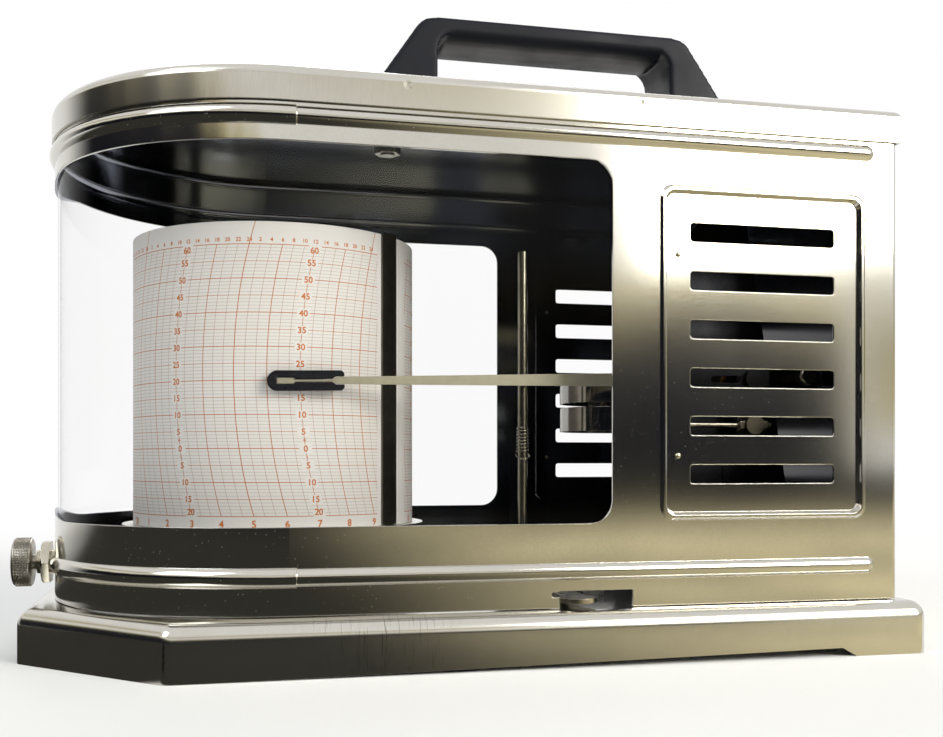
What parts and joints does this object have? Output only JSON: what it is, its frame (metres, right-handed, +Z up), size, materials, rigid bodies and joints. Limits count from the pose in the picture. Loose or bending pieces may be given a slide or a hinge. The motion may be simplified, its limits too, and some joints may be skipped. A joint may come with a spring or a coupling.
{
  "type": "recording thermograph",
  "caption": "Recording thermograph with a clockwork chart drum, bimetal rings and a pen arm under a lift-off steel cover with a window and a handle.",
  "frame": {"origin": "centre of the footprint, on the table under the tray", "axes": "+X along the case to its square louvred end, -Y towards the front, +Z up"},
  "size_m": [0.2836, 0.1558, 0.212],
  "materials": {
    "case_steel": "satin, warm room light in it",
    "tray_steel": "satin, drawn along its length",
    "black_plastic": "fine moulded grain",
    "pen_plastic": "smooth moulding",
    "rubber_pad": "matt",
    "clear_sheet": "clear",
    "zinc_steel": "zinc plated",
    "nickel": "dull nickel plate",
    "brass_parts": "turned",
    "drum_aluminium": "spun, satin",
    "chart_paper": "printed with an orange time and degree grid",
    "dark_steel": "dark bronze-black",
    "bimetal": "bright rolled strip",
    "spring_steel": "bright drawn wire"
  },
  "bodies": {
    "base": {"tray": "tray_steel", "tray_pads": "rubber_pad", "spindle": "nickel", "spindle_nut": "zinc_steel", "fixed_wheel": "brass_parts", "drum_nut": "brass_parts", "mechanism_frame": "dark_steel", "axle_bushes": "brass_parts", "base_screws": "zinc_steel", "zero_lock": "dark_steel", "bimetal_post": "dark_steel", "bimetal_clamp": "dark_steel", "clamp_screws": "zinc_steel", "lower_bimetal": "bimetal", "upper_bimetal": "bimetal", "lock_bracket": "zinc_steel", "lifter_post": "nickel", "lifter_washer": "zinc_steel"},
    "cover": {"case_shell": "case_steel", "lid": "case_steel", "window_pane": "clear_sheet", "handle": "black_plastic", "handle_studs": "zinc_steel", "handle_washers": "zinc_steel", "handle_nuts": "zinc_steel", "panel_rivets": "nickel", "lock_bush": "nickel", "lock_nut": "nickel"},
    "lock_screw": {"lock_stem": "zinc_steel"},
    "knob": {"lock_knob": "nickel"},
    "drum": {"drum_can": "drum_aluminium", "drum_base": "drum_aluminium", "drum_bush": "brass_parts", "clock_case": "brass_parts", "chart_paper": "chart_paper"},
    "clamp": {"clamp_bar": "dark_steel"},
    "pinion": {"drive_pinion": "nickel"},
    "key": {"winding_key": "brass_parts"},
    "axle": {"pen_axle": "nickel", "gate_block": "dark_steel", "crank": "dark_steel"},
    "arm": {"arm_root": "dark_steel", "arm_blade": "drum_aluminium", "arm_screw": "dark_steel", "gate_pin": "nickel", "pen_cartridge": "pen_plastic"},
    "link": {"link_rod": "nickel", "link_swivel": "nickel", "link_nuts": "nickel"},
    "bimetal_tip": {"bimetal_clip": "nickel"},
    "lifter": {"lifter_lever": "nickel", "lifter_rod": "spring_steel", "lifter_spring": "spring_steel"},
    "zero": {"zero_screw": "nickel"}
  },
  "joints": [
    {"name": "cover_lift", "type": "slide", "parent": "base", "child": "cover", "axis": [0, 0, 1], "range_m": [0, 0.18]},
    {"name": "lock_travel", "type": "slide", "parent": "cover", "child": "lock_screw", "axis": [-1, 0, 0], "range_m": [0, 0.0016]},
    {"name": "lock_turn", "type": "hinge", "parent": "lock_screw", "child": "knob", "pos_m": [-0.1372, 0, 0.0274], "axis": [-1, 0, 0], "range_deg": [0, 720]},
    {"name": "drum_turn", "type": "hinge", "parent": "base", "child": "drum", "pos_m": [-0.0572, 0, 0.08], "axis": [0, 0, 1], "continuous": true},
    {"name": "clamp_slide", "type": "slide", "parent": "drum", "child": "clamp", "axis": [0, 0, 1], "range_m": [0, 0.012]},
    {"name": "pinion_turn", "type": "hinge", "parent": "drum", "child": "pinion", "pos_m": [-0.0783, 0, 0.0315], "axis": [0, 0, 1], "continuous": true},
    {"name": "key_turn", "type": "hinge", "parent": "drum", "child": "key", "pos_m": [-0.0572, 0.024, 0.136], "axis": [0, 0, 1], "continuous": true},
    {"name": "pen_swing", "type": "hinge", "parent": "base", "child": "axle", "pos_m": [0.096, 0, 0.0872], "axis": [0, 1, 0], "range_deg": [-14.9, 14.3]},
    {"name": "pen_gate", "type": "hinge", "parent": "axle", "child": "arm", "pos_m": [0.096, -0.0465, 0.0872], "axis": [-0.0183, 0, 0.9998], "range_deg": [0, 2.7]},
    {"name": "link_turn", "type": "hinge", "parent": "axle", "child": "link", "pos_m": [0.0974, -0.0445, 0.0723], "axis": [0, 1, 0], "range_deg": [-14.5, 14.5]},
    {"name": "tip_travel", "type": "slide", "parent": "base", "child": "bimetal_tip", "axis": [1, 0, 0], "range_m": [-0.0041, 0.0041]},
    {"name": "lifter_turn", "type": "hinge", "parent": "base", "child": "lifter", "pos_m": [0.0288, -0.046, 0.0187], "axis": [0, 0, 1], "range_deg": [0, 22]},
    {"name": "zero_turn", "type": "hinge", "parent": "base", "child": "zero", "pos_m": [0.1179, -0.0435, 0.0891], "axis": [0, -1, 0], "continuous": true}
  ],
  "couplings": [
    {"joint": "lock_turn", "follows": "lock_travel", "rad_per_m": 7853.9},
    {"joint": "pinion_turn", "follows": "drum_turn", "ratio": 4},
    {"joint": "pen_gate", "follows": "lifter_turn", "ratio": 0.12},
    {"joint": "link_turn", "follows": "pen_swing", "ratio": -0.9607},
    {"joint": "tip_travel", "follows": "pen_swing", "m_per_rad": -0.01475}
  ]
}
